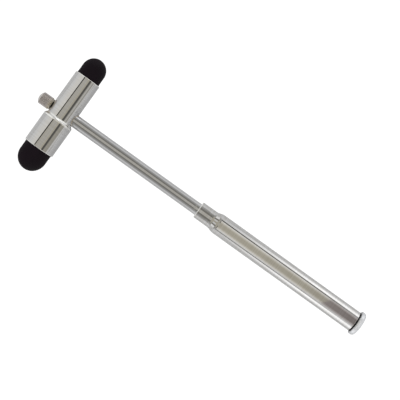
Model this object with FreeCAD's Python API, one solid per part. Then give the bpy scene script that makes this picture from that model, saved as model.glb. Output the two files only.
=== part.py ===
# Two-ended reflex hammer. A needle is kept in its head and a brush in its handle.
#
# Frame: the hammer lies on a table, +Z up, +X along the handle from the head to the end cap,
# +Y along the head towards the small tip. The origin is at the bottom centre of the bounding box.
# While a piece is drawn, the handle's axis is the X axis and the head's axis is the Y axis,
# and place() then moves the finished piece into the frame. All sizes are in millimetres.

import FreeCAD, Part
import math
import os

# Overall size
OVERALL_LENGTH = 190.0
KNOB_REACH = 14.2  # from the head's axis to the crown of the knob
LARGE_REACH = 32.9  # from the handle's axis to the end of the large tip
SMALL_REACH = 31.1  # from the handle's axis to the end of the small tip

# Head: a stepped barrel, bored at both ends for the rubber tips
LARGE_RADIUS = 7.85
SMALL_RADIUS = 6.75
LARGE_RIM = 20.6  # from the handle's axis to the large cup's rim
SMALL_RIM = 20.2  # from the handle's axis to the small cup's rim
STEP_START = 4.45  # the step slopes from here on the large side ...
STEP_END = 3.35  # ... to here, still on the large side of the handle's axis
STEP_ROUND = 0.6
RIM_BREAK = 0.25  # rounding of both rims
CUP_DEPTH = 1.2
CUP_WALL = 0.68
SOCKET_DEPTH = 10.0  # from each rim to the bottom of the bore behind the cup
SOCKET_WALL = 2.6
RIB_HEIGHT = 0.5  # ring on each tip's plug, in a groove in its socket
RIB_WIDTH = 1.6
PLUG_ROUND = 0.4

# Rubber tips
LARGE_DOME = 7.5
SMALL_DOME = 6.3

# Shaft
SHAFT_RADIUS = 3.125
SHAFT_SEAT = 2.0  # from the head's axis to the bottom of the shaft's seat
NEEDLE_BORE_RADIUS = 1.1
NEEDLE_BORE_END = 50.0

# Handle tube: a collar, a shoulder and the grip
COLLAR_START = 80.0
COLLAR_RADIUS = 4.35
SHOULDER_START = 88.9  # the shoulder's slope, before its two wide curves are drawn
SHOULDER_END = 91.1
SHOULDER_ROUND = 6.3
HANDLE_RADIUS = 5.2
HANDLE_END = 172.5
HANDLE_WALL = 1.0
COLLAR_ROUND = 0.4

# Threaded bush and end cap
BUSH_LENGTH = 8.0
BUSH_BORE_RADIUS = 3.3
WASHER_THICKNESS = 0.65
CAP_WASHER_RADIUS = 5.15
CAP_RADIUS = 6.2
CAP_FACE = OVERALL_LENGTH - KNOB_REACH
CAP_ROUND = 1.5
CAP_BREAK = 0.4
CAP_PITCH = 1.0
CAP_THREADS = 5
THREAD_CLEARANCE = 0.08

# Brush
STEM_RADIUS = 1.25
STEM_SEAT = 2.6  # how deep the stem sits in the cap's plug
SEAT_CLEARANCE = 0.02
FERRULE_RADIUS = 2.6
FERRULE_START = 124.0
FERRULE_LENGTH = 10.0
BRISTLE_SEAT = 5.5
BRISTLE_START = 112.0
BRISTLE_RADIUS = 2.2
BRISTLE_TIP_RADIUS = 2.8

# Needle unit
SPOT_FACE = 6.2  # from the head's axis to the flat under the needle's washer
SPOT_RADIUS = 2.8
NEEDLE_WASHER_THICKNESS = 0.6
NEEDLE_WASHER_RADIUS = 2.6
STUD_BORE_RADIUS = 1.6
STUD_BORE_END = 1.5  # from the head's axis
STUD_PITCH = 0.6
STUD_THREADS = 6
NEEDLE_RADIUS = 0.6
NEEDLE_PASSAGE_RADIUS = 0.9
NEEDLE_TIP = 46.0
NEEDLE_TAPER = 8.0
NEEDLE_POINT_RADIUS = 0.05
NEEDLE_SEAT = 3.0  # how deep the needle sits in its stud
KNOB_RADIUS = 3.125
KNOB_FOOT_RADIUS = 2.5
KNOB_FOOT_LENGTH = 1.2
KNOB_CROWN = 1.35  # the crown's height, before its wide curve is drawn
KNOB_CROWN_RADIUS = 1.55
KNOB_CROWN_ROUND = 4.0
KNOB_SOCKET_DEPTH = 3.0
KNURLS = 24
KNURL_DEPTH = 0.2

# Places in the frame
HEAD_X = KNOB_REACH - OVERALL_LENGTH / 2
HANDLE_Y = (LARGE_REACH - SMALL_REACH) / 2
AXIS_Z = LARGE_RADIUS

KNOB_FOOT = -(SPOT_FACE + NEEDLE_WASHER_THICKNESS)
CAP_UNDERSIDE = HANDLE_END + WASHER_THICKNESS
PLUG_END = CAP_UNDERSIDE - WASHER_THICKNESS - CAP_PITCH * CAP_THREADS

X_AXIS = FreeCAD.Vector(1, 0, 0)
Y_AXIS = FreeCAD.Vector(0, 1, 0)
CENTRE = FreeCAD.Vector(0, 0, 0)


def outline(corners):
    """A closed wire through (along, radius) corners in the XY plane. A third number rounds its corner."""
    points = [FreeCAD.Vector(c[0], c[1], 0) for c in corners]
    rounds = [c[2] if len(c) == 3 else 0 for c in corners]
    ends = []
    for i, point in enumerate(points):
        before = (points[i - 1] - point).normalize()
        after = (points[(i + 1) % len(points)] - point).normalize()
        if not rounds[i]:
            ends.append((point, point, None))
            continue
        half_angle = before.getAngle(after) / 2
        reach = rounds[i] / math.tan(half_angle)
        bisector = (before + after).normalize()
        middle = point + bisector * (rounds[i] / math.sin(half_angle) - rounds[i])
        ends.append((point + before * reach, point + after * reach, middle))
    edges = []
    for i, (start, end, middle) in enumerate(ends):
        if middle:
            edges.append(Part.Arc(start, middle, end).toShape())
        next_start = ends[(i + 1) % len(ends)][0]
        if end.distanceToPoint(next_start) > 1e-7:
            edges.append(Part.LineSegment(end, next_start).toShape())
    return Part.Wire(edges)


def turned(corners):
    """A solid turned about the X axis from its (along, radius) outline."""
    return Part.Face(outline(corners)).revolve(CENTRE, X_AXIS, 360)


def along_head(solid):
    """Turns a piece drawn about the X axis so that it lies about the head's axis."""
    turned_piece = solid.copy()
    turned_piece.rotate(CENTRE, FreeCAD.Vector(0, 0, 1), 90)
    return turned_piece


def cylinder(radius, start, end):
    """A cylinder on the X axis between two places along it."""
    return Part.makeCylinder(radius, end - start, FreeCAD.Vector(start, 0, 0), X_AXIS)


def threads(start, count, pitch, crest, root):
    """Outline corners of a row of thread ridges, from start in steps of pitch."""
    corners = []
    for i in range(count):
        foot = start + i * pitch
        corners.append((foot + 0.1 * pitch, root))
        corners.append((foot + 0.4 * pitch, crest))
        corners.append((foot + 0.6 * pitch, crest))
        corners.append((foot + 0.9 * pitch, root))
    return corners


def socket(rim, radius):
    """The space that a tip's plug fills: a shallow cup, a bore and a groove for the plug's rib."""
    bore = radius - SOCKET_WALL
    cup = radius - CUP_WALL
    rib = rim - SOCKET_DEPTH / 2
    return turned([
        (rim - SOCKET_DEPTH, 0),
        (rim - SOCKET_DEPTH, bore, PLUG_ROUND),
        (rib - RIB_WIDTH / 2, bore),
        (rib, bore + RIB_HEIGHT),
        (rib + RIB_WIDTH / 2, bore),
        (rim - CUP_DEPTH, bore),
        (rim - CUP_DEPTH, cup),
        (rim, cup),
        (rim, 0),
    ])


def rubber_tip(rim, radius, reach, dome):
    """A plug, a short straight stretch above the rim, and a rounded end."""
    tip_radius = radius - CUP_WALL
    straight = turned([
        (rim, 0),
        (rim, tip_radius),
        (reach - dome, tip_radius),
        (reach - dome, 0),
    ])
    ellipse = Part.Ellipse(CENTRE, max(dome, tip_radius), min(dome, tip_radius))
    quarter = Part.Arc(ellipse, 0, math.pi / 2).toShape()
    centre = FreeCAD.Vector(reach - dome, 0, 0)
    quarter.translate(centre)
    crown = FreeCAD.Vector(reach, 0, 0)
    shoulder = FreeCAD.Vector(reach - dome, tip_radius, 0)
    sides = [
        quarter,
        Part.LineSegment(shoulder, centre).toShape(),
        Part.LineSegment(centre, crown).toShape(),
    ]
    end = Part.Face(Part.Wire(Part.sortEdges(sides)[0])).revolve(CENTRE, X_AXIS, 360)
    return socket(rim, radius).fuse(straight).fuse(end).removeSplitter()


def head_barrel():
    """The stepped barrel with a socket at each end, the shaft's seat and the needle's threaded hole."""
    barrel = turned([
        (-LARGE_RIM, 0),
        (-LARGE_RIM, LARGE_RADIUS, RIM_BREAK),
        (-STEP_START, LARGE_RADIUS, STEP_ROUND),
        (-STEP_END, SMALL_RADIUS, STEP_ROUND),
        (SMALL_RIM, SMALL_RADIUS, RIM_BREAK),
        (SMALL_RIM, 0),
    ])
    large_socket = socket(LARGE_RIM, LARGE_RADIUS)
    large_socket.rotate(CENTRE, FreeCAD.Vector(0, 0, 1), 180)
    barrel = along_head(barrel.cut(large_socket).cut(socket(SMALL_RIM, SMALL_RADIUS)))
    holes = [
        cylinder(SHAFT_RADIUS, SHAFT_SEAT, LARGE_RADIUS),
        cylinder(NEEDLE_PASSAGE_RADIUS, -SMALL_RADIUS, SHAFT_SEAT),
        cylinder(STUD_BORE_RADIUS, -SMALL_RADIUS, -STUD_BORE_END),
        cylinder(SPOT_RADIUS, -LARGE_RADIUS, -SPOT_FACE),
    ]
    for hole in holes:
        barrel = barrel.cut(hole)
    return barrel


def large_rubber_tip():
    tip = along_head(rubber_tip(LARGE_RIM, LARGE_RADIUS, LARGE_REACH, LARGE_DOME))
    tip.rotate(CENTRE, FreeCAD.Vector(0, 0, 1), 180)
    return tip


def small_rubber_tip():
    return along_head(rubber_tip(SMALL_RIM, SMALL_RADIUS, SMALL_REACH, SMALL_DOME))


def shaft():
    """A rod seated in the head, bored from the head's end for the needle."""
    rod = cylinder(SHAFT_RADIUS, SHAFT_SEAT, SHOULDER_START)
    return rod.cut(cylinder(NEEDLE_BORE_RADIUS, SHAFT_SEAT, NEEDLE_BORE_END))


def handle_tube():
    """A tube drawn down to a collar around the shaft, open at its far end."""
    inside = HANDLE_RADIUS - HANDLE_WALL
    return turned([
        (COLLAR_START, SHAFT_RADIUS),
        (COLLAR_START, COLLAR_RADIUS, COLLAR_ROUND),
        (SHOULDER_START, COLLAR_RADIUS, SHOULDER_ROUND),
        (SHOULDER_END, HANDLE_RADIUS, SHOULDER_ROUND),
        (HANDLE_END, HANDLE_RADIUS, 0.15),
        (HANDLE_END, inside),
        (SHOULDER_END + 1.0, inside, 1.0),
        (SHOULDER_START, SHAFT_RADIUS),
    ])


def handle_thread_bush():
    """A plain-bored ring that stands for the threaded bush, with a lead-in at its mouth."""
    outside = HANDLE_RADIUS - HANDLE_WALL
    start = HANDLE_END - BUSH_LENGTH
    return turned([
        (start, BUSH_BORE_RADIUS + 0.3),
        (start, outside),
        (HANDLE_END, outside),
        (HANDLE_END, BUSH_BORE_RADIUS + 0.25),
        (HANDLE_END - 0.25, BUSH_BORE_RADIUS),
        (start + 0.3, BUSH_BORE_RADIUS),
    ])


def end_cap():
    """A flange on a threaded plug, bored for the brush's stem."""
    crest = BUSH_BORE_RADIUS - THREAD_CLEARANCE
    root = crest - 0.4
    corners = [(PLUG_END, STEM_RADIUS + SEAT_CLEARANCE), (PLUG_END, root)]
    corners += threads(PLUG_END, CAP_THREADS, CAP_PITCH, crest, root)
    corners += [
        (CAP_UNDERSIDE, root),
        (CAP_UNDERSIDE, CAP_RADIUS, CAP_BREAK),
        (CAP_FACE, CAP_RADIUS, CAP_ROUND),
        (CAP_FACE, 0),
        (PLUG_END + STEM_SEAT, 0),
        (PLUG_END + STEM_SEAT, STEM_RADIUS + SEAT_CLEARANCE),
    ]
    return turned(corners)


def ring(start, end, inner, outer, rounding):
    """A flat ring on the X axis with rounded outer corners."""
    return turned([
        (start, inner),
        (start, outer, rounding),
        (end, outer, rounding),
        (end, inner),
    ])


def end_cap_washer():
    return ring(HANDLE_END, CAP_UNDERSIDE, BUSH_BORE_RADIUS + 0.1, CAP_WASHER_RADIUS, 0.15)


def brush_stem():
    """The rod between the cap's plug and the ferrule."""
    start = FERRULE_START + BRISTLE_SEAT + 0.5
    end = PLUG_END + STEM_SEAT - SEAT_CLEARANCE
    return turned([
        (start, 0),
        (start, STEM_RADIUS - 0.3),
        (start + 0.3, STEM_RADIUS),
        (end - 0.3, STEM_RADIUS),
        (end, STEM_RADIUS - 0.3),
        (end, 0),
    ])


def brush_ferrule():
    """A sleeve with the bristles' seat in front, the stem's seat behind and a crimped waist."""
    end = FERRULE_START + FERRULE_LENGTH
    floor = FERRULE_START + BRISTLE_SEAT
    return turned([
        (FERRULE_START, BRISTLE_RADIUS),
        (FERRULE_START, FERRULE_RADIUS, 0.15),
        (FERRULE_START + 2.2, FERRULE_RADIUS, 0.3),
        (FERRULE_START + 2.8, FERRULE_RADIUS - 0.2, 0.3),
        (FERRULE_START + 3.4, FERRULE_RADIUS, 0.3),
        (end - 1.2, FERRULE_RADIUS, 0.5),
        (end, STEM_RADIUS + 0.5, 0.2),
        (end, STEM_RADIUS + SEAT_CLEARANCE),
        (floor + 0.5 - SEAT_CLEARANCE, STEM_RADIUS + SEAT_CLEARANCE),
        (floor + 0.5 - SEAT_CLEARANCE, 0),
        (floor, 0),
        (floor, BRISTLE_RADIUS),
    ])


def brush_bristles():
    """The bundle of bristles as one closed solid, a little wider at its tip."""
    return turned([
        (BRISTLE_START, 0),
        (BRISTLE_START, BRISTLE_TIP_RADIUS, 0.6),
        (FERRULE_START, BRISTLE_RADIUS),
        (FERRULE_START + BRISTLE_SEAT, BRISTLE_RADIUS),
        (FERRULE_START + BRISTLE_SEAT, 0),
    ])


def needle_knob():
    """The knob: a tapered foot, a straight-knurled grip and a crowned end, bored for its stud."""
    crown_start = -KNOB_REACH + KNOB_CROWN
    grip_end = KNOB_FOOT - KNOB_FOOT_LENGTH
    knob = turned([
        (-KNOB_REACH, 0),
        (-KNOB_REACH, KNOB_CROWN_RADIUS, KNOB_CROWN_ROUND),
        (crown_start, KNOB_RADIUS, 0.3),
        (grip_end, KNOB_RADIUS, 0.2),
        (KNOB_FOOT, KNOB_FOOT_RADIUS),
        (KNOB_FOOT, 0),
    ])
    groove = Part.makeBox(grip_end - crown_start, 1, 1)
    groove.rotate(CENTRE, X_AXIS, 45)
    groove.translate(FreeCAD.Vector(crown_start, 0, KNOB_RADIUS - KNURL_DEPTH))
    grooves = []
    for i in range(KNURLS):
        cutter = groove.copy()
        cutter.rotate(CENTRE, X_AXIS, 360 / KNURLS * i)
        grooves.append(cutter)
    knob = knob.cut(Part.makeCompound(grooves))
    return knob.cut(cylinder(STUD_BORE_RADIUS - THREAD_CLEARANCE, KNOB_FOOT - KNOB_SOCKET_DEPTH, 0))


def needle_stud():
    """The brass stud: a plain end fixed in the knob and a threaded end, bored for the needle."""
    crest = STUD_BORE_RADIUS - THREAD_CLEARANCE
    root = crest - 0.25
    end = KNOB_FOOT + NEEDLE_WASHER_THICKNESS + STUD_PITCH * STUD_THREADS
    thread_start = end - STUD_PITCH * STUD_THREADS
    corners = [
        (KNOB_FOOT - KNOB_SOCKET_DEPTH, 0),
        (KNOB_FOOT - KNOB_SOCKET_DEPTH, crest),
        (KNOB_FOOT, crest),
        (KNOB_FOOT, root),
    ]
    corners += threads(thread_start, STUD_THREADS, STUD_PITCH, crest, root)
    corners += [
        (end, root),
        (end, NEEDLE_RADIUS + SEAT_CLEARANCE),
        (end - NEEDLE_SEAT, NEEDLE_RADIUS + SEAT_CLEARANCE),
        (end - NEEDLE_SEAT, 0),
    ]
    return turned(corners)


def needle():
    """A slim steel needle with a long taper and a fine point."""
    start = KNOB_FOOT + NEEDLE_WASHER_THICKNESS + STUD_PITCH * STUD_THREADS - NEEDLE_SEAT
    return turned([
        (start + SEAT_CLEARANCE, 0),
        (start + SEAT_CLEARANCE, NEEDLE_RADIUS),
        (NEEDLE_TIP - NEEDLE_TAPER, NEEDLE_RADIUS, 20.0),
        (NEEDLE_TIP, NEEDLE_POINT_RADIUS),
        (NEEDLE_TIP, 0),
    ])


def needle_washer():
    return ring(KNOB_FOOT, -SPOT_FACE, STUD_BORE_RADIUS + 0.1, NEEDLE_WASHER_RADIUS, 0.15)


def place(solid):
    """Moves a finished piece from the drawing axes into the frame."""
    placed = solid.copy()
    placed.translate(FreeCAD.Vector(HEAD_X, HANDLE_Y, AXIS_Z))
    return placed


PIECES = [
    head_barrel,
    large_rubber_tip,
    small_rubber_tip,
    shaft,
    handle_tube,
    handle_thread_bush,
    end_cap,
    end_cap_washer,
    brush_stem,
    brush_ferrule,
    brush_bristles,
    needle_knob,
    needle_stud,
    needle,
    needle_washer,
]

os.makedirs("parts", exist_ok=True)
for piece in PIECES:
    shape = place(piece())
    print(piece.__name__, shape.ShapeType, shape.isValid(), len(shape.Solids), round(shape.Volume, 2))
    shape.exportStep("parts/" + piece.__name__ + ".step")
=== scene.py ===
"""Looks of a two-ended reflex hammer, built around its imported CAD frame. All sizes are in metres."""
import math
import random

import bmesh
import bpy
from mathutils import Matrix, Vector, noise


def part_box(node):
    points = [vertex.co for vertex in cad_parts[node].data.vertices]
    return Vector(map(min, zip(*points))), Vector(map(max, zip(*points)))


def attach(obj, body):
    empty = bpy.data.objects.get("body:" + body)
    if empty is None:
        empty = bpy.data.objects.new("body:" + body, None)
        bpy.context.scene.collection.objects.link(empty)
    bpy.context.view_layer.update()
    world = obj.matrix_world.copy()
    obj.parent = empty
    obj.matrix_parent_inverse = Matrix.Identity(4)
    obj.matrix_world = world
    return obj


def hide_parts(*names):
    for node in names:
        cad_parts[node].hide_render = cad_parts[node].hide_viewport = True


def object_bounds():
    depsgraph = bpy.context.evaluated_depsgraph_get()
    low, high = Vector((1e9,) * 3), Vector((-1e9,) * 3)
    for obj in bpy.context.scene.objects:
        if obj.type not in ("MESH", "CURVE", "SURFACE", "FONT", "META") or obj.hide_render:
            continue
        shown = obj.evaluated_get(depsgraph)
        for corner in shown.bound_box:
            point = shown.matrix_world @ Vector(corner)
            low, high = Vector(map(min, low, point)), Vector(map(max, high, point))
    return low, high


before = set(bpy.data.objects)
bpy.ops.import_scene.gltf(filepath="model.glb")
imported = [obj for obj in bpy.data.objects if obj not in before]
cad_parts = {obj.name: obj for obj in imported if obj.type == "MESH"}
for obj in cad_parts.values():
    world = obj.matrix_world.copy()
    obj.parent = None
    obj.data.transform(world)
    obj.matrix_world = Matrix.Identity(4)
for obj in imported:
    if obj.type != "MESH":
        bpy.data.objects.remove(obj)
CAD_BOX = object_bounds()
MM = 0.001
FULL_TURN = 2 * math.pi


# --- Places, read from the frame ---

def middle(node):
    low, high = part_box(node)
    return (low + high) / 2


def radius_of(node):
    low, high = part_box(node)
    return (high.z - low.z) / 2


BARREL_LOW, BARREL_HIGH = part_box("head_barrel")
HEAD_X = middle("head_barrel").x
HANDLE_Y = middle("shaft").y
AXIS_Z = middle("shaft").z
SHAFT_RADIUS = radius_of("shaft")
LARGE_BARREL_RADIUS = radius_of("head_barrel")
SMALL_BARREL_RADIUS = 6.75 * MM
COLLAR_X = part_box("handle_tube")[0].x
# The step slopes from the last place that has the large barrel's full height.
STEP_Y = max(
    vertex.co.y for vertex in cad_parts["head_barrel"].data.vertices
    if vertex.co.z > BARREL_HIGH.z - 0.02 * MM
)
STEP_LENGTH = 1.1 * MM


def new_object(name, data):
    made = bpy.data.objects.new(name, data)
    bpy.context.scene.collection.objects.link(made)
    return made


# --- Camera: straight down, the hammer lying from upper left to lower right ---

CAMERA_DISTANCE = 0.503
FIELD_WIDTH = 0.193
HANDLE_ANGLE = math.radians(35.64)
# The picture's middle is beside the handle, 78 mm from the head.
VIEW_CENTRE = Vector((HEAD_X + 0.07795, HANDLE_Y + 0.00425, AXIS_Z))
SENSOR_WIDTH = 36.0


def make_camera():
    data = bpy.data.cameras.new("camera")
    data.sensor_width = SENSOR_WIDTH
    data.lens = SENSOR_WIDTH * CAMERA_DISTANCE / FIELD_WIDTH
    camera = new_object("camera", data)
    camera.location = VIEW_CENTRE + Vector((0, 0, CAMERA_DISTANCE))
    camera.rotation_euler = (0, 0, HANDLE_ANGLE)
    bpy.context.scene.camera = camera


# --- Nodes that the materials and the light share ---

def add_node(tree, kind, inputs=None, **settings):
    """A shader node. Each input is a constant or another node's output."""
    made = tree.nodes.new("ShaderNode" + kind)
    for name, value in settings.items():
        setattr(made, name, value)
    for name, value in (inputs or {}).items():
        if isinstance(value, bpy.types.NodeSocket):
            tree.links.new(value, made.inputs[name])
        else:
            made.inputs[name].default_value = value
    return made


def ramp(tree, value, stops):
    """Colours along a value from 0 to 1. Each stop is (place, colour)."""
    made = add_node(tree, "ValToRGB", {"Fac": value})
    elements = made.color_ramp.elements
    while len(elements) < len(stops):
        elements.new(0.5)
    for element, (place, colour) in zip(elements, stops):
        element.position = place
        element.color = (*colour, 1)
    return made.outputs["Color"]


# --- Studio: a white floor, soft light and the cards that the chrome mirrors ---

BRIGHTEST = 2.0  # the radiance that a card's colour of 1 stands for
BEIGE = (1.10, 1.035, 0.865)
BROWN = (1.08, 0.965, 0.93)
CEILING_Z = 0.408
TABLE_CARD_Z = 0.0005
FLOOR_HALF = 3.0
SIDES = ((-1, "right"), (1, "left"))  # of the handle, as seen from the head


def glow_material(name, stops, axis, tint=BEIGE):
    """Light that changes along a card.

    Each stop is (how far along, radiance, how tinted). The first and the last run from 0 to 1.
    """
    material = bpy.data.materials.new(name)
    material.use_nodes = True
    tree = material.node_tree
    tree.nodes.clear()
    out = add_node(tree, "OutputMaterial")
    glow = add_node(tree, "Emission", {"Strength": BRIGHTEST})
    tree.links.new(glow.outputs["Emission"], out.inputs["Surface"])
    colours = [
        (place, [radiance / BRIGHTEST * (1 + share * (part - 1)) for part in tint])
        for place, radiance, share in stops
    ]
    if len(stops) == 1:
        glow.inputs["Color"].default_value = (*colours[0][1], 1)
        return material
    place = add_node(tree, "TexCoord").outputs["Generated"]
    split = add_node(tree, "SeparateXYZ", {"Vector": place})
    tree.links.new(ramp(tree, split.outputs[axis], colours), glow.inputs["Color"])
    return material


def level(x, y, z):
    """Corners of a level card between two ends along X and along Y."""
    return [(x[0], y[0], z), (x[1], y[0], z), (x[1], y[1], z), (x[0], y[1], z)]


def upright(x, y, z):
    """Corners of an upright card between two heights. One of x and y is a pair of ends."""
    if isinstance(x, tuple):
        return [(x[0], y, z[0]), (x[1], y, z[0]), (x[1], y, z[1]), (x[0], y, z[1])]
    return [(x, y[0], z[0]), (x, y[1], z[0]), (x, y[1], z[1]), (x, y[0], z[1])]


def card(name, corners, light, axis="X", tint=BEIGE):
    """A card that only mirrors show. light lists (metres along the axis, radiance, how tinted)."""
    ends = [corner["XYZ".index(axis)] for corner in corners]
    low, high = min(ends), max(ends)
    stops = sorted(((place - low) / (high - low), *rest) for place, *rest in light)
    mesh = bpy.data.meshes.new(name)
    mesh.from_pydata(corners, [], [tuple(range(len(corners)))])
    mesh.materials.append(glow_material(name, stops, axis, tint))
    made = new_object(name, mesh)
    made.visible_camera = False
    made.visible_diffuse = False
    made.visible_shadow = False
    made.visible_transmission = False


def plain(radiance, share=0.0):
    """The same light all over a card."""
    return [(0.0, radiance, share)]


def flat_sheet(name, z):
    ends = (-FLOOR_HALF, FLOOR_HALF)
    mesh = bpy.data.meshes.new(name)
    mesh.from_pydata(level(ends, ends, z), [], [(0, 1, 2, 3)])
    sheet = new_object(name, mesh)
    return sheet


def make_floor():
    """The camera sees a white floor. Everything else sees a pale table."""
    floor = flat_sheet("floor", -0.002)
    floor.data.materials.append(glow_material("floor", plain(1.1), "X"))
    floor.visible_diffuse = False
    floor.visible_glossy = False
    floor.visible_transmission = False
    floor.visible_shadow = False

    table = flat_sheet("table", 0.0)
    material = bpy.data.materials.new("table")
    material.use_nodes = True
    shader = material.node_tree.nodes["Principled BSDF"]
    shader.inputs["Base Color"].default_value = (0.69, 0.69, 0.695, 1)
    shader.inputs["Roughness"].default_value = 0.9
    shader.inputs["Specular IOR Level"].default_value = 0.0
    table.data.materials.append(material)
    table.visible_camera = False


def make_light():
    world = bpy.data.worlds.new("world")
    world.use_nodes = True
    sky = world.node_tree.nodes["Background"]
    sky.inputs["Color"].default_value = (1, 1, 0.985, 1)
    sky.inputs["Strength"].default_value = 0.95
    bpy.context.scene.world = world

    light = bpy.data.lights.new("overhead", "AREA")
    light.shape = "SQUARE"
    light.size = 1.6
    light.energy = 5.0
    lamp = new_object("overhead", light)
    lamp.location = (0, 0, 1.2)
    lamp.visible_glossy = False


LINE_X = -0.2225
LINE_SLANT = 1.0
LINE_WIDTH = 0.066


def slanted(near, far, y, z):
    """Corners of a level card between two ends along Y. near and far are its ends along X at each."""
    return [(near[0], y[0], z), (near[1], y[0], z), (far[1], y[1], z), (far[0], y[1], z)]


def make_head_cards():
    """The light above the head and the shaft, which makes the barrel's dark lines."""
    over_head = (-0.06, 0.06)
    near, far = (LINE_X + LINE_SLANT * y for y in over_head)
    ceiling_end = 0.30
    card("ceiling_head", slanted((near, ceiling_end), (far, ceiling_end), over_head, CEILING_Z), [
        (-0.28, 0.57, 0.8), (-0.12, 0.63, 0.8), (0.04, 0.60, 0.8), (0.118, 0.54, 0.8),
        (ceiling_end, 0.50, 0.8),
    ])
    line_near, line_far = (near - LINE_WIDTH, near), (far - LINE_WIDTH, far)
    card("dark_line", slanted(line_near, line_far, over_head, CEILING_Z - 0.001), plain(0.06, 0.5))
    card("ceiling_left", level((-1.2, -0.28), over_head, CEILING_Z - 0.0005), [
        (-1.2, 0.97, 0.1), (-0.5, 0.98, 0.3), (-0.28, 0.97, 0.4),
    ])
    card("ceiling_shaft", level((-0.19, 0.03), (-0.16, 0.16), CEILING_Z - 0.001), [
        (-0.19, 0.58, 0.6), (-0.12, 0.63, 0.6), (-0.03, 0.59, 0.6), (0.0, 0.64, 0.5), (0.03, 0.66, 0.5),
    ])
    # No ray from the shaft or the straight handle crosses the plane of these two cards, so the
    # barrel is their mirror. The shoulder faces them too, but make_shoulder_cards screens it off.
    fin_foot = 0.0158
    fin_parting = -0.004
    card("fin_large", upright(VIEW_CENTRE.x, (-0.06, fin_parting), (fin_foot, 0.163)), [
        (fin_foot, 0.64, 0.0), (0.0203, 0.70, 0.1), (0.026, 0.74, 0.1), (0.032, 0.88, 0.1),
        (0.0375, 0.80, 0.3), (0.042, 0.46, 0.6), (0.060, 0.45, 0.8), (0.078, 0.48, 0.8),
        (0.0944, 0.42, 0.8), (0.1045, 0.14, 0.5), (0.159, 0.14, 0.5), (0.163, 0.54, 0.8),
    ], "Z")
    card("fin_small", upright(VIEW_CENTRE.x, (fin_parting, 0.06), (fin_foot, 0.149)), [
        (fin_foot, 0.68, 0.0), (0.022, 0.76, 0.1), (0.0288, 0.84, 0.2), (0.0345, 0.64, 0.3),
        (0.0395, 0.40, 0.5), (0.0445, 0.42, 0.5), (0.052, 0.64, 0.4), (0.0625, 0.70, 0.4),
        (0.070, 0.62, 0.4), (0.080, 0.48, 0.6), (0.092, 0.14, 0.5), (0.143, 0.14, 0.5),
        (0.149, 0.54, 0.8),
    ], "Z")
    # A small bright card beyond the small tip lights the step.
    beyond_tip = CAD_BOX[1].y + 0.006
    over_step = (HEAD_X - 0.0085, HEAD_X + 0.004)
    card("step_light", upright(over_step, beyond_tip, (0.012, 0.02)), plain(1.9))
    beside_shaft = (HEAD_X + 0.008, -0.004)
    for side, word in SIDES:
        # Beside the strip above the shaft, the light is dim and grows towards the horizon.
        card("shade_" + word, level((-0.35, 0.021), (0.14 * side, 1.6 * side), CEILING_Z - 0.002), [
            (0.14 * side, 0.26, 0.5), (0.30 * side, 0.28, 0.5), (0.41 * side, 0.40, 0.3),
            (0.69 * side, 0.50, 0.1), (1.6 * side, 0.78, 0.0),
        ], "Y")
        card("table_near_" + word, level(beside_shaft, (0.008 * side, 0.024 * side), TABLE_CARD_Z), [
            (HEAD_X + 0.008, 0.54, 0.0), (-0.055, 0.66, 0.0), (-0.035, 0.73, 0.0), (-0.004, 0.75, 0.0),
        ])
        table_far = level(beside_shaft, (0.024 * side, 0.12 * side), TABLE_CARD_Z)
        card("table_far_" + word, table_far, plain(0.77))


SHOULDER_MIDDLE = HEAD_X + 90.0 * MM
SHOULDER_RADIUS = 4.78 * MM


def seen_by_shoulder(plane_x, across, tilt):
    """The place on an upright plane that the shoulder mirrors to the camera.

    across runs from -1 to 1 over the shoulder's width. tilt is the angle of its slope there.
    """
    upward = math.sqrt(1 - across ** 2)
    reach = SHOULDER_MIDDLE - plane_x
    y = HANDLE_Y + SHOULDER_RADIUS * across + reach * across / math.tan(tilt)
    rise = 2 * (math.cos(tilt) * upward) ** 2 - 1
    z = AXIS_Z + SHOULDER_RADIUS * upward + reach * rise / (math.sin(2 * tilt) * upward)
    return plane_x, y, z


def make_shoulder_cards():
    """A dim screen on each side, with a dark bar and two windows. Only the shoulder faces it."""
    screen_x = VIEW_CENTRE.x + 0.5 * MM
    window_x = screen_x + 0.2 * MM
    steepest = math.radians(23)
    cards = (  # name, inner and outer edge across the shoulder, gentlest slope, plane and light
        ("screen_inner", 0.0, 0.36, 2.5, screen_x, plain(0.56, 1.0)),
        ("screen_outer", 0.36, 0.62, 7.0, screen_x, plain(0.45, 0.4)),
        ("bar", 0.25, 0.37, 9.0, window_x, plain(0.28, 0.4)),
        ("window_inner", 0.09, 0.22, 12.0, window_x, plain(0.95)),
        ("window_outer", 0.38, 0.60, 11.0, window_x, plain(1.2)),
    )
    for side, word in SIDES:
        for name, inner, outer, gentlest, plane_x, light in cards:
            gentle = math.radians(gentlest)
            places = ((inner, steepest), (outer, steepest), (outer, gentle), (inner, gentle))
            corners = [seen_by_shoulder(plane_x, across * side, tilt) for across, tilt in places]
            card(name + "_" + word, corners, light, "Y")


PANEL_START = 0.021
PANEL_END = 0.1346
PANEL_SKEW = 0.0086
PANEL_Z = CEILING_Z - 0.006


def straight_across(x_at_axis, y):
    """Where a card's edge is, at y, for the round handle to show it straight across."""
    height = PANEL_Z - AXIS_Z
    share = height / CAMERA_DISTANCE
    mirror_x = (x_at_axis + share * VIEW_CENTRE.x) / (1 + share)
    return mirror_x + (x_at_axis - mirror_x) * math.hypot(1, y / height) + PANEL_SKEW * y


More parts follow.
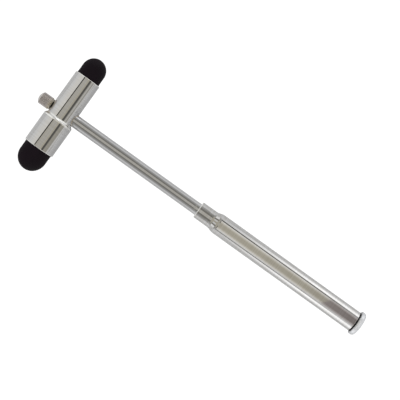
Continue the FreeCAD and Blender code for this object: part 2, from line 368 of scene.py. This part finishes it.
def panel_strip(name, start, end, edge, light):
    """Part of the panel on one side of the handle.

    Its ends look straight across, but for the panel's own start, which is square.
    """
    places = spread(0.0, edge, 0.04)
    if start > PANEL_START:
        corners = [(straight_across(start, y), y, PANEL_Z) for y in places]
    else:
        corners = [(start, 0.0, PANEL_Z), (start, edge, PANEL_Z)]
    corners += [(straight_across(end, y), y, PANEL_Z) for y in reversed(places)]
    card(name, corners, light, "Y")


def make_handle_cards():
    """The light above the handle: a warm panel, its dark end and frame, and a softbox on each side."""
    panel = (
        (0.0, 0.57, 1.0), (0.11, 0.58, 1.0), (0.16, 0.63, 0.9),
        (0.25, 0.80, 0.7), (0.36, 1.0, 0.4), (0.48, 1.05, 0.2),
    )
    strips = ((PANEL_START, 0.07, 1.02), (0.07, 0.116, 0.98), (0.116, PANEL_END, 0.91))
    glow = ((-0.004, 0.86), (0.016, 0.86), (0.022, 0.71), (0.05, 0.90), (0.08, 1.15), (0.2, 1.4))
    softbox_y = {-1: -1.0, 1: 0.9}
    glow_strength = {-1: 1.15, 1: 1.0}
    for side, word in SIDES:
        for start, end, strength in strips:
            name = "panel_%d_%s" % (round(start / MM), word)
            light = [(y * side, radiance * strength, share) for y, radiance, share in panel]
            panel_strip(name, start, end, panel[-1][0] * side, light)
        card("panel_dark_" + word, level((0.10, 0.30), (0.0, 0.2 * side), CEILING_Z - 0.005), [
            (PANEL_END, 0.38, 1.0), (0.165, 0.30, 1.0), (0.30, 0.25, 1.0),
        ], tint=BROWN)
        card("panel_end_" + word, level((0.10, 0.5), (0.2 * side, 1.2 * side), CEILING_Z - 0.005), [
            (0.20 * side, 0.39, 1.0), (0.27 * side, 0.50, 0.8), (0.45 * side, 0.72, 0.4),
            (0.62 * side, 0.95, 0.0), (1.2 * side, 1.3, 0.0),
        ], "Y", BROWN)
        card("softbox_" + word, upright((PANEL_START, 0.6), softbox_y[side], (0.0, 0.44)), [
            (0.045, 0.95, 0.0), (0.07, 1.1, 0.0), (0.139, 1.5, 0.0), (0.18, 1.7, 0.0), (0.2, 1.85, 0.0),
            (0.236, 1.75, 0.0), (0.4, 1.6, 0.0),
        ])
        card("table_glow_" + word, level((-0.004, 0.2), (0.035 * side, 0.88 * side), TABLE_CARD_Z), [
            (x, radiance * glow_strength[side], 0.0) for x, radiance in glow
        ])
    # A small card close above the cap. The handle's mirror doesn't reach it.
    past_cap = (CAD_BOX[1].x + 0.0012, CAD_BOX[1].x + 0.011)
    over_cap = (HANDLE_Y - 0.016, HANDLE_Y + 0.016)
    card("cap_light", level(past_cap, over_cap, 0.03), plain(1.15))
    card("frame_left", level((PANEL_START, 0.25), (0.49, 0.80), CEILING_Z - 0.007), [
        (0.05, 0.12, 0.5), (0.09, 0.20, 0.5), (0.137, 0.27, 0.4), (0.168, 0.22, 0.4), (0.25, 0.6, 0.0),
    ])
    card("frame_right", level((PANEL_START, 0.25), (-1.0, -0.70), CEILING_Z - 0.007), [
        (0.05, 0.22, 0.5), (0.108, 0.12, 0.5), (0.164, 0.35, 0.4), (0.2, 0.55, 0.2), (0.25, 1.0, 0.0),
    ])


def make_studio():
    make_floor()
    make_light()
    make_head_cards()
    make_shoulder_cards()
    make_handle_cards()
    bpy.context.scene.view_settings.view_transform = "Standard"


# --- Material building blocks ---

def new_material(name, metallic, roughness, specular=0.5):
    """A principled material: its node tree and its shader."""
    material = bpy.data.materials.new(name)
    material.use_nodes = True
    shader = material.node_tree.nodes["Principled BSDF"]
    shader.inputs["Metallic"].default_value = metallic
    shader.inputs["Roughness"].default_value = roughness
    shader.inputs["Specular IOR Level"].default_value = specular
    return material, material.node_tree, shader


def object_place(tree):
    return add_node(tree, "TexCoord").outputs["Object"]


def along_axis(tree, axis):
    return add_node(tree, "SeparateXYZ", {"Vector": object_place(tree)}).outputs[axis]


def grain(tree, per_metre, detail=2.0, shift=0.0):
    """Noise over the piece. per_metre is its number of features, or one number for each axis."""
    if isinstance(per_metre, float):
        per_metre = (per_metre, per_metre, per_metre)
    scaled = add_node(tree, "Mapping", {
        "Vector": object_place(tree), "Location": (shift, shift, shift), "Scale": per_metre,
    })
    made = add_node(tree, "TexNoise", {"Vector": scaled.outputs[0], "Scale": 1.0, "Detail": detail})
    return made.outputs[0]


def fit(tree, value, low, high, to_low, to_high):
    """The value, spread from one range to another and kept inside it."""
    made = add_node(tree, "MapRange", {
        "Value": value, "From Min": low, "From Max": high, "To Min": to_low, "To Max": to_high,
    })
    return made.outputs[0]


def maths(tree, operation, first, second):
    made = add_node(tree, "Math", operation=operation)
    for socket, value in zip(made.inputs, (first, second)):
        if isinstance(value, bpy.types.NodeSocket):
            tree.links.new(value, socket)
        else:
            socket.default_value = value
    return made.outputs[0]


def blend(tree, first, first_share, second, second_share):
    """The sum of two values, each times its share."""
    parts = maths(tree, "MULTIPLY", first, first_share), maths(tree, "MULTIPLY", second, second_share)
    return maths(tree, "ADD", *parts)


def mixed(tree, share, colour, other):
    """A node's colour that gives way to a fixed one as share goes from 0 to 1."""
    made = add_node(tree, "Mix", {0: share, 6: colour, 7: (*other, 1)}, data_type="RGBA")
    return made.outputs[2]


def band(tree, axis, centre, half_width):
    """1 near a place along an axis, falling to 0 outside it."""
    away = maths(tree, "ABSOLUTE", maths(tree, "SUBTRACT", along_axis(tree, axis), centre), 0.0)
    return fit(tree, away, 0.7 * half_width, 1.3 * half_width, 1.0, 0.0)


def stretched(axis, along, across):
    """Features per metre for marks that run along or around an axis."""
    return tuple(along if letter == axis else across for letter in "XYZ")


def relief(tree, height, distance, normal=None):
    """A normal for marks this deep, over another normal if there is one."""
    inputs = {"Height": height, "Distance": distance, "Strength": 1.0}
    if normal:
        inputs["Normal"] = normal
    return add_node(tree, "Bump", inputs).outputs[0]


# --- Materials ---

CHROME = (0.54, 0.54, 0.545)
# The paler colour painted along edges as a highlight, where the polish is also duller.
SATIN_HIGHLIGHT_CHROME = (0.86, 0.86, 0.84)
SATIN_ROUGHENING = 0.32
# The paler colour painted on the knob's crown as a highlight.
CROWN_HIGHLIGHT_CHROME = (0.72, 0.71, 0.69)


def finish(tree, shader, colour, roughness, normal):
    tree.links.new(colour, shader.inputs["Base Color"])
    tree.links.new(roughness, shader.inputs["Roughness"])
    tree.links.new(normal, shader.inputs["Normal"])


def plated(name, axis, highlit_edges=(), warmth=0.0, roughness=0.025, ring_tone=0.045):
    """Bright chrome over a turned surface, with fine rings, hairline scratches and smudges.

    The edge list gives (axis, centre, half width) of each edge where the polish is duller and a paler
    colour is painted in as a highlight. ring_tone is how far the rings' brightness strays either way,
    and warmth how yellow the dark rings are.
    """
    material, tree, shader = new_material(name, 1.0, roughness)
    rings = grain(tree, stretched(axis, 1700.0, 12.0), detail=1.0)
    smudges = grain(tree, 160.0, detail=5.0, shift=3.0)
    hairlines = fit(tree, grain(tree, stretched(axis, 70.0, 2600.0), 3.0, 7.0), 0.62, 0.72, 0.0, 1.0)
    bright = [(1 + ring_tone) * part for part in CHROME]
    dull = [(1 - ring_tone) * part * (1 - warmth * fade) for part, fade in zip(CHROME, (0.0, 0.3, 1.0))]
    colour = ramp(tree, blend(tree, rings, 0.8, smudges, 0.2), [(0.35, dull), (0.65, bright)])
    smeared = fit(tree, smudges, 0.4, 0.7, roughness, roughness + 0.03)
    rough = blend(tree, smeared, 1.0, hairlines, 0.05)
    # Along the edge bands the polish is rougher, and a paler colour is painted in as a highlight.
    if highlit_edges:
        edges = 0.0
        for place in highlit_edges:
            edges = maths(tree, "MAXIMUM", edges, band(tree, *place))
        dull_and_highlit = maths(tree, "MULTIPLY", edges, fit(tree, smudges, 0.2, 0.5, 0.75, 1.0))
        colour = mixed(tree, dull_and_highlit, colour, SATIN_HIGHLIGHT_CHROME)
        rough = blend(tree, rough, 1.0, dull_and_highlit, SATIN_ROUGHENING)
    ripple = relief(tree, smudges, 0.0008 * MM)
    finish(tree, shader, colour, rough, relief(tree, rings, 0.0003 * MM, ripple))
    return material


def satin_plated(name, axis, colour, roughness):
    """Plating over a surface that was turned and not polished."""
    material, tree, shader = new_material(name, 0.85, roughness)
    rings = grain(tree, stretched(axis, 2600.0, 20.0), detail=3.0)
    smudges = grain(tree, 350.0, detail=4.0, shift=5.0)
    tones = [(0.35, [0.94 * part for part in colour]), (0.65, [1.05 * part for part in colour])]
    shades = ramp(tree, blend(tree, rings, 0.5, smudges, 0.5), tones)
    rough = fit(tree, smudges, 0.3, 0.7, roughness - 0.04, roughness + 0.04)
    finish(tree, shader, shades, rough, relief(tree, rings, 0.0006 * MM))
    return material


def plated_worn_and_highlit(name, axis, crown, foot, reach):
    """Dull plating, painted paler at the crown as a highlight, and rubbed through to the brass near the
    foot.
    """
    material, tree, shader = new_material(name, 1.0, 0.25)
    along = along_axis(tree, axis)
    patches = grain(tree, 500.0, detail=3.0)
    streaks = grain(tree, stretched(axis, 30.0, 700.0), detail=2.0, shift=4.0)
    near_foot = fit(tree, along, foot - reach, foot, 0.0, 1.0)
    # A paler colour painted towards the crown stands for its highlight.
    crown_highlight = fit(tree, along, crown + 0.2 * reach, crown + 0.7 * reach, 0.8, 0.0)
    wear = maths(tree, "MULTIPLY", near_foot, fit(tree, patches, 0.35, 0.6, 0.5, 1.0))
    shade = blend(tree, fit(tree, streaks, 0.35, 0.65, 0.0, 0.25), 1.0, wear, 0.75)
    tones = [(0.0, (0.40, 0.365, 0.355)), (0.25, (0.52, 0.48, 0.46)), (1.0, (0.68, 0.62, 0.48))]
    colour = mixed(tree, crown_highlight, ramp(tree, shade, tones), CROWN_HIGHLIGHT_CHROME)
    rough = fit(tree, patches, 0.3, 0.7, 0.24, 0.30)
    finish(tree, shader, colour, rough, relief(tree, patches, 0.0004 * MM))
    return material


def turned_brass(name):
    """Brass with turning marks, darkened in patches."""
    material, tree, shader = new_material(name, 1.0, 0.28)
    rings = grain(tree, stretched("X", 5000.0, 60.0), detail=2.0)
    tarnish = grain(tree, 700.0, detail=5.0)
    tones = [(0.3, (0.42, 0.27, 0.10)), (0.55, (0.74, 0.53, 0.23)), (0.75, (0.82, 0.62, 0.30))]
    rough = fit(tree, tarnish, 0.3, 0.7, 0.42, 0.2)
    finish(tree, shader, ramp(tree, tarnish, tones), rough, relief(tree, rings, 0.003 * MM))
    return material


def braze_and_shade_metal(name):
    """Braze under thin plating: dull, brown where the braze shows; its darkest brown is painted shade
    at the shaft's root.
    """
    material, tree, shader = new_material(name, 1.0, 0.3)
    braze_and_shade_mottle = grain(tree, 900.0, detail=4.0, shift=6.0)
    tones = [(0.35, (0.46, 0.45, 0.43)), (0.5, (0.42, 0.34, 0.22)), (0.7, (0.30, 0.21, 0.11))]
    rough = fit(tree, braze_and_shade_mottle, 0.3, 0.7, 0.2, 0.45)
    finish(tree, shader, ramp(tree, braze_and_shade_mottle, tones), rough, relief(tree, braze_and_shade_mottle, 0.01 * MM))
    return material


def drawn_steel(name, colour, roughness):
    """Steel wire with fine lines along its length."""
    material, tree, shader = new_material(name, 1.0, roughness)
    lines = grain(tree, stretched("X", 90.0, 9000.0), detail=3.0)
    cloud = grain(tree, 300.0, detail=4.0, shift=2.0)
    tones = [(0.3, [0.82 * part for part in colour]), (0.7, [1.08 * part for part in colour])]
    rough = fit(tree, cloud, 0.3, 0.7, roughness * 0.75, roughness * 1.3)
    finish(tree, shader, ramp(tree, lines, tones), rough, relief(tree, lines, 0.0015 * MM))
    return material


def black_rubber(name, colour, specular):
    """Matte moulded rubber: fine grain, a faint bloom and paler scuffs."""
    material, tree, shader = new_material(name, 0.0, 0.7, specular)
    pores = grain(tree, 2600.0, detail=3.0)
    bloom = grain(tree, 130.0, detail=6.0, shift=1.0)
    scuffs = fit(tree, grain(tree, (900.0, 260.0, 900.0), 5.0, 4.0), 0.62, 0.75, 0.0, 1.0)
    shade = blend(tree, fit(tree, bloom, 0.35, 0.75, 0.0, 0.5), 1.0, scuffs, 0.5)
    tones = [(0.0, colour), (1.0, [2.2 * part for part in colour])]
    rough = fit(tree, bloom, 0.3, 0.7, 0.58, 0.8)
    waves = relief(tree, bloom, 0.05 * MM)
    finish(tree, shader, ramp(tree, shade, tones), rough, relief(tree, pores, 0.012 * MM, waves))
    return material


def nylon(name):
    """Pale bristles whose tone differs from one to the next and in faint clouds."""
    material, tree, shader = new_material(name, 0.0, 0.35)
    strands = grain(tree, stretched("X", 15.0, 3500.0), detail=2.0)
    cloud = grain(tree, 250.0, detail=3.0)
    tones = [(0.3, (0.58, 0.52, 0.40)), (0.5, (0.78, 0.74, 0.63)), (0.7, (0.90, 0.88, 0.80))]
    shades = ramp(tree, blend(tree, strands, 0.7, cloud, 0.3), tones)
    rough = fit(tree, strands, 0.3, 0.7, 0.28, 0.5)
    finish(tree, shader, shades, rough, relief(tree, strands, 0.01 * MM))
    return material


# --- Mesh building blocks ---

WELD = 1e-7
SHARP_ANGLE = math.radians(38)


def rounded(corners, steps=6):
    """A line through (along, radius) corners. A third number rounds its corner with an arc."""
    points = []
    for i, corner in enumerate(corners):
        point = Vector(corner[:2])
        if len(corner) == 2:
            points.append(point)
            continue
        radius = corner[2]
        before = (Vector(corners[i - 1][:2]) - point).normalized()
        after = (Vector(corners[i + 1][:2]) - point).normalized()
        half_angle = before.angle(after) / 2
        centre = point + (before + after).normalized() * radius / math.sin(half_angle)
        start = point + before * radius / math.tan(half_angle) - centre
        end = point + after * radius / math.tan(half_angle) - centre
        sweep = start.angle(end)
        for step in range(steps + 1):
            turn = sweep * step / steps
            spoke = (start * math.sin(sweep - turn) + end * math.sin(turn)) / math.sin(sweep)
            points.append(centre + spoke)
    return points


def spread(start, end, most):
    """Places from start to end, evenly spaced and at most so far apart."""
    count = max(1, math.ceil(abs(end - start) / most))
    return [start + (end - start) * i / count for i in range(count + 1)]


def straight(start, end, radius, most):
    """Outline points at one radius, at most so far apart."""
    return [Vector((along, radius)) for along in spread(start, end, most)]


def place_on_handle(along, radius, angle):
    return (along, HANDLE_Y + radius * math.cos(angle), AXIS_Z + radius * math.sin(angle))


def place_on_head(along, radius, angle):
    return (HEAD_X + radius * math.sin(angle), along, AXIS_Z + radius * math.cos(angle))


def join_rows(build, rows):
    """Faces between each row of vertices and the next. Every row is a closed ring."""
    for row, following in zip(rows, rows[1:]):
        for k in range(len(row)):
            after = (k + 1) % len(row)
            build.faces.new((row[k], row[after], following[after], following[k]))


def turned(name, outline, segments=96, shape=None, place=place_on_handle, closed=False):
    """A mesh turned from its (along, radius) outline.

    shape(along, radius, angle) may change the radius. A closed outline ends where it starts.
    """
    build = bmesh.new()
    rows = []
    for along, radius in outline:
        row = []
        for k in range(segments):
            angle = FULL_TURN * k / segments
            here = shape(along, radius, angle) if shape else radius
            row.append(build.verts.new(place(along, here, angle)))
        rows.append(row)
    if closed:
        rows.append(rows[0])
    join_rows(build, rows)
    bmesh.ops.remove_doubles(build, verts=build.verts, dist=WELD)
    return finished_mesh(name, build)


def finished_mesh(name, build):
    """The built mesh, smooth but for its sharp edges."""
    bmesh.ops.recalc_face_normals(build, faces=build.faces)
    mesh = bpy.data.meshes.new(name)
    build.to_mesh(mesh)
    build.free()
    mesh.shade_smooth()
    mesh.set_sharp_from_angle(angle=SHARP_ANGLE)
    return mesh


def add_piece(name, mesh, material, body, slot, *nodes):
    """Puts a piece in the scene on its body. It stands for the CAD nodes named last."""
    mesh.materials.append(material)
    made = new_object(name, mesh)
    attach(made, body)
    if nodes:
        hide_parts(*nodes)


def clamp(value):
    """The value, kept between 0 and 1."""
    return min(1.0, max(0.0, value))


def helix(start, end, pitch, root, crest):
    """A shape for turned(): a thread on the outline's root, which fades out at both ends."""
    margin = 0.001 * MM
    fade_length = 0.8 * pitch

    def shape(along, radius, angle):
        if not start < along < end or not root - margin < radius < crest + margin:
            return radius
        phase = (along - start) / pitch - angle / FULL_TURN
        ridge = abs(2 * (phase % 1.0) - 1)
        height = clamp((ridge - 0.22) / 0.5)
        fade = clamp(min(along - start, end - along) / fade_length)
        return root + (crest - root) * height * fade

    return shape


# --- Pieces ---

CAP_PITCH = 1.0 * MM
STUD_PITCH = 0.6 * MM


def make_knob(material):
    """A straight-knurled grip with a domed end and a tapered foot."""
    low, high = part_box("needle_knob")
    radius = radius_of("needle_knob")
    knurls = 24
    segments_per_knurl = 14
    knurl_depth = 0.14 * MM
    grip_start = low.x + 1.35 * MM
    grip_end = high.x - 1.2 * MM
    crown_radius = 1.55 * MM
    crown_round = 4.0 * MM
    neck_radius = 2.76 * MM
    foot_radius = 2.5 * MM
    bore = radius - 1.55 * MM
    bore_end = high.x - 3.0 * MM

    def knurl(along, here, angle):
        if here < 0.7 * radius:
            return here
        fade_in = clamp((along - low.x - 0.9 * MM) / (0.6 * MM))
        fade_out = clamp((high.x - 0.2 * MM - along) / (1.1 * MM))
        valley = (1 - abs(math.sin(knurls / 2 * angle))) ** 1.3
        return here - knurl_depth * valley * fade_in * fade_out

    dome = rounded([(low.x, 0), (low.x, crown_radius, crown_round), (grip_start, radius)], steps=16)
    edge = rounded([dome[-2], (grip_start, radius, 0.3 * MM), (grip_start + 0.5 * MM, radius)])
    grip = straight(grip_start + 0.8 * MM, grip_end - 0.3 * MM, radius, 0.4 * MM)
    taper = rounded([
        (grip_end - 0.25 * MM, radius), (grip_end, radius, 0.2 * MM), (high.x - 0.5 * MM, neck_radius),
        (high.x, foot_radius, 0.12 * MM), (high.x, bore), (bore_end, bore), (bore_end, 0),
    ])
    outline = dome[:-1] + edge[1:] + grip + taper
    mesh = turned("knob", outline, knurls * segments_per_knurl, knurl)
    add_piece("knob", mesh, material, "knob", "knob_chrome", "needle_knob")


def make_handle(material):
    """The hollow handle: a collar around the shaft, a curved shoulder and a long tube."""
    low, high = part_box("handle_tube")
    radius = radius_of("handle_tube")
    collar = 4.35 * MM
    inside = radius - 1.0 * MM
    shoulder_start = low.x + 8.9 * MM
    shoulder_end = low.x + 11.1 * MM
    shoulder_round = 6.3 * MM
    shoulder_reach = 1.25 * MM
    # Rings close to each curve keep the straight lengths between them truly straight in the mirror.
    outline = rounded([
        (low.x, SHAFT_RADIUS), (low.x, collar, 0.4 * MM), (low.x + 0.5 * MM, collar),
        (shoulder_start - shoulder_reach, collar), (shoulder_start, collar, shoulder_round),
        (shoulder_end, radius, shoulder_round), (shoulder_end + shoulder_reach, radius),
        (high.x - 0.25 * MM, radius), (high.x, radius, 0.15 * MM), (high.x, inside),
        (shoulder_end + 1.0 * MM, inside, 1.0 * MM), (shoulder_start, SHAFT_RADIUS),
    ], steps=24)
    mesh = turned("handle", outline, 192, closed=True)
    add_piece("handle", mesh, material, "hammer", "handle_chrome", "handle_tube")


def make_stud(material):
    """The brass screw that holds the needle, with a helical thread."""
    low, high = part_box("needle_stud")
    crest = radius_of("needle_stud")
    root = crest - 0.25 * MM
    chamfer = 0.1 * MM
    bore = 0.62 * MM
    bore_end = high.x - 3.0 * MM
    knob_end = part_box("needle_knob")[1].x
    outline = rounded([(low.x, 0), (low.x, crest, chamfer), (knob_end - 0.05 * MM, crest)])
    outline += straight(knob_end, high.x - 0.15 * MM, root, STUD_PITCH / 14)
    outline += rounded([
        (high.x - chamfer, root), (high.x, root - chamfer), (high.x, bore + chamfer),
        (high.x - chamfer, bore), (bore_end, bore), (bore_end, 0),
    ])
    thread = helix(knob_end + 0.3 * MM, high.x, STUD_PITCH, root, crest)
    add_piece("stud", turned("stud", outline, 72, thread), material, "knob", "brass", "needle_stud")


def make_cap(material):
    """The flanged cap, its rim rounded, on a plug with a helical thread."""
    low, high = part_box("end_cap")
    radius = radius_of("end_cap")
    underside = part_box("end_cap_washer")[1].x
    thread_end = underside - 0.65 * MM
    crest = 3.22 * MM
    root = crest - 0.4 * MM
    chamfer = 0.1 * MM
    bore = 1.27 * MM
    bore_end = low.x + 2.6 * MM
    bore_chamfer = 0.15 * MM
    outline = rounded([
        (bore_end, 0), (bore_end, bore), (low.x + bore_chamfer, bore), (low.x, bore + bore_chamfer),
        (low.x, root - chamfer), (low.x + chamfer, root),
    ])
    outline += straight(low.x + 0.15 * MM, thread_end, root, CAP_PITCH / 16)
    outline += rounded([
        (underside - 0.3 * MM, root), (underside, root, 0.15 * MM), (underside, radius, 0.4 * MM),
        (high.x, radius, 1.5 * MM), (high.x, 2.0 * MM), (high.x, 0),
    ], steps=10)
    thread = helix(low.x, thread_end, CAP_PITCH, root, crest)
    add_piece("cap", turned("cap", outline, 120, thread), material, "cap", "cap_chrome", "end_cap")


def make_bush(material):
    """The ring inside the handle's mouth, with a helical groove."""
    low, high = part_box("handle_thread_bush")
    outside = radius_of("handle_thread_bush")
    chamfer = 0.1 * MM
    bore = 3.3 * MM
    groove = 0.25 * MM
    thread_start = low.x + 0.3 * MM
    thread_end = high.x - 0.3 * MM
    outline = straight(thread_start, thread_end, bore, CAP_PITCH / 14)
    outline += rounded([
        (high.x, bore + groove), (high.x, outside - chamfer), (high.x - chamfer, outside),
        (low.x + chamfer, outside), (low.x, outside - chamfer), (low.x, bore + 0.3 * MM),
    ])
    thread = helix(thread_start, thread_end, CAP_PITCH, bore, bore + groove)
    mesh = turned("thread_bush", outline, 96, thread, closed=True)
    add_piece("thread_bush", mesh, material, "hammer", "brass", "handle_thread_bush")


def make_tip(name, node, outward, barrel_radius, dome, material):
    """A moulded rubber tip: a plug with a rib, a soft lip on the cup and a domed end.

    outward is the side of the head that the tip is on, 1 or -1. dome is how far the dome reaches.
    """
    low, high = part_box(node)
    rim, crown = (BARREL_HIGH.y, high.y) if outward > 0 else (BARREL_LOW.y, low.y)
    reach = abs(crown - rim)
    radius = barrel_radius - 0.68 * MM
    lip = 0.1 * MM
    plug = barrel_radius - 2.6 * MM
    plug_end = -10.0 * MM
    rib_height = 0.5 * MM
    cup_floor = -1.2 * MM
    dome_steps = 28
    unevenness = 0.03 * MM
    bumps_per_metre = 170
    line = rounded([
        (plug_end, 0), (plug_end, plug, 0.4 * MM), (-5.8 * MM, plug), (-5.0 * MM, plug + rib_height),
        (-4.2 * MM, plug), (cup_floor, plug), (cup_floor, radius), (0.0, radius),
        (0.06 * MM, radius + lip, 0.04 * MM), (0.5 * MM, radius + lip * 0.6, 0.2 * MM),
        (0.9 * MM, radius),
    ], steps=4)
    line += straight(1.2 * MM, reach - dome, radius, 0.5 * MM)
    for step in range(1, dome_steps + 1):
        turn = math.pi / 2 * step / dome_steps
        line.append(Vector((reach - dome + dome * math.sin(turn), radius * math.cos(turn))))
    outline = [(rim + outward * along, here) for along, here in line]

    def uneven(along, here, angle):
        if outward * (along - rim) < 0.3 * MM:
            return here
        spot = Vector(place_on_head(along, here, angle)) * bumps_per_metre
        return here + unevenness * (noise.noise(spot) - 0.5)

    mesh = turned(name, outline, 128, uneven, place_on_head)
    add_piece(name, mesh, material, "hammer", "tip_rubber", node)


def strand(build, points, radius, sides=6):
    """A round filament through its points, closed at both ends."""
    rows = []
    for i, point in enumerate(points):
        thin = 0.55 if i == len(points) - 1 else 1.0
        rows.append([
            build.verts.new(point + Vector((0, math.cos(turn), math.sin(turn))) * radius * thin)
            for turn in (FULL_TURN * k / sides for k in range(sides))
        ])
    join_rows(build, rows)
    build.faces.new(rows[0])
    build.faces.new(rows[-1])


def make_bristles(material):
    """A round tuft of nylon filaments that spread a little towards their tips."""
    low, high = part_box("brush_bristles")
    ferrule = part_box("brush_ferrule")[0].x
    tip_radius = radius_of("brush_bristles")
    seat_radius = 2.1 * MM
    root = high.x - 0.3 * MM
    count = 520
    filament = 0.075 * MM
    steps = 6
    most_lean = 0.14 * MM
    most_trim = 0.22 * MM
    golden_turn = math.pi * (3 - math.sqrt(5))
    chance = random.Random(11)
    build = bmesh.new()
    for i in range(count):
        share = math.sqrt((i + 0.5) / count)
        turn = golden_turn * i
        outward = Vector((0, math.cos(turn), math.sin(turn)))
        sideways = Vector((0, -math.sin(turn), math.cos(turn)))
        base = (seat_radius - filament) * share
        end = (tip_radius - 2 * filament) * share
        lean = chance.uniform(-most_lean, most_lean)
        trim = low.x + chance.uniform(0.0, most_trim)
        points = []
        for step in range(steps + 1):
            x = root + (trim - root) * step / steps
            free = clamp((ferrule - x) / (ferrule - low.x))
            radius = min(tip_radius - filament, base + (end - base) * free ** 1.5)
            points.append(Vector((x, HANDLE_Y, AXIS_Z)) + outward * radius + sideways * lean * free)
        strand(build, points, filament)
    mesh = finished_mesh("bristles", build)
    add_piece("bristles", mesh, material, "cap", "bristle", "brush_bristles")


def make_braze(material):
    """The thin fillet of braze where the shaft enters the barrel. Its dark brown also paints the shade
    at the junction.
    """
    fillet = 0.18 * MM
    segments = 96
    steps = 6
    build = bmesh.new()

    def on_barrel(radius, angle):
        return HEAD_X + math.sqrt(SMALL_BARREL_RADIUS ** 2 - (radius * math.sin(angle)) ** 2)

    rows = []
    for k in range(segments):
        angle = FULL_TURN * k / segments
        size = fillet * (1 + 0.25 * math.sin(3 * angle + 0.6) * math.sin(5 * angle))
        row = []
        for step in range(steps + 1):
            turn = math.pi / 2 * step / steps
            radius = SHAFT_RADIUS + size * (1 - math.sin(turn))
            lift = size * (1 - math.cos(turn))
            row.append(place_on_handle(on_barrel(radius, angle) + lift, radius, angle))
        # The last point lies inside the shaft and the barrel.
        buried_x = on_barrel(SHAFT_RADIUS, angle) - 0.08 * MM
        row.append(place_on_handle(buried_x, SHAFT_RADIUS - 0.05 * MM, angle))
        rows.append([build.verts.new(point) for point in row])
    join_rows(build, rows + rows[:1])
    add_piece("braze", finished_mesh("braze", build), material, "hammer", "brass")


# --- The hammer ---

def finish_frame():
    """Gives each CAD node that stays its own finish."""
    step_band = 0.4 * MM
    rim_band = 0.3 * MM
    # The barrel's step and rims get bands of duller polish with a painted highlight.
    highlit_dull_edges = [
        ("Y", STEP_Y, step_band), ("Y", STEP_Y + STEP_LENGTH, step_band),
        ("Y", BARREL_LOW.y, rim_band), ("Y", BARREL_HIGH.y, rim_band),
    ]
    finishes = {
        "head_barrel": plated("head_chrome", "Y", highlit_dull_edges, warmth=0.04),
        "shaft": plated("shaft_chrome", "X"),
        "brush_ferrule": plated("ferrule_chrome", "X", roughness=0.08),
        "brush_stem": drawn_steel("stem_steel", (0.50, 0.50, 0.50), 0.26),
        "needle": drawn_steel("needle_steel", (0.60, 0.60, 0.61), 0.14),
    }
    seal = black_rubber("seal_rubber", (0.004, 0.004, 0.0045), 0.12)
    finishes["end_cap_washer"] = seal
    finishes["needle_washer"] = seal
    for name, material in finishes.items():
        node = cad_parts[name]
        node.data.materials.clear()
        node.data.materials.append(material)


def make_pieces():
    brass = turned_brass("brass")
    rubber = black_rubber("tip_rubber", (0.0044, 0.0022, 0.0040), 0.08)
    knob_low, knob_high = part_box("needle_knob")
    # The collar's front edge gets a band of duller polish with a painted highlight.
    collar_end_highlight = [("X", COLLAR_X, 0.35 * MM)]
    make_knob(plated_worn_and_highlit("knob_chrome", "X", knob_low.x, knob_high.x, 2.4 * MM))
    make_handle(plated("handle_chrome", "X", collar_end_highlight, warmth=0.06, ring_tone=0.065))
    make_stud(brass)
    make_cap(satin_plated("cap_chrome", "X", (0.63, 0.64, 0.66), 0.42))
    make_bush(brass)
    make_tip("large_tip", "large_rubber_tip", -1, LARGE_BARREL_RADIUS, 7.5 * MM, rubber)
    make_tip("small_tip", "small_rubber_tip", 1, SMALL_BARREL_RADIUS, 6.3 * MM, rubber)
    make_bristles(nylon("bristle"))
    make_braze(braze_and_shade_metal("braze"))


make_camera()
make_studio()
finish_frame()
make_pieces()
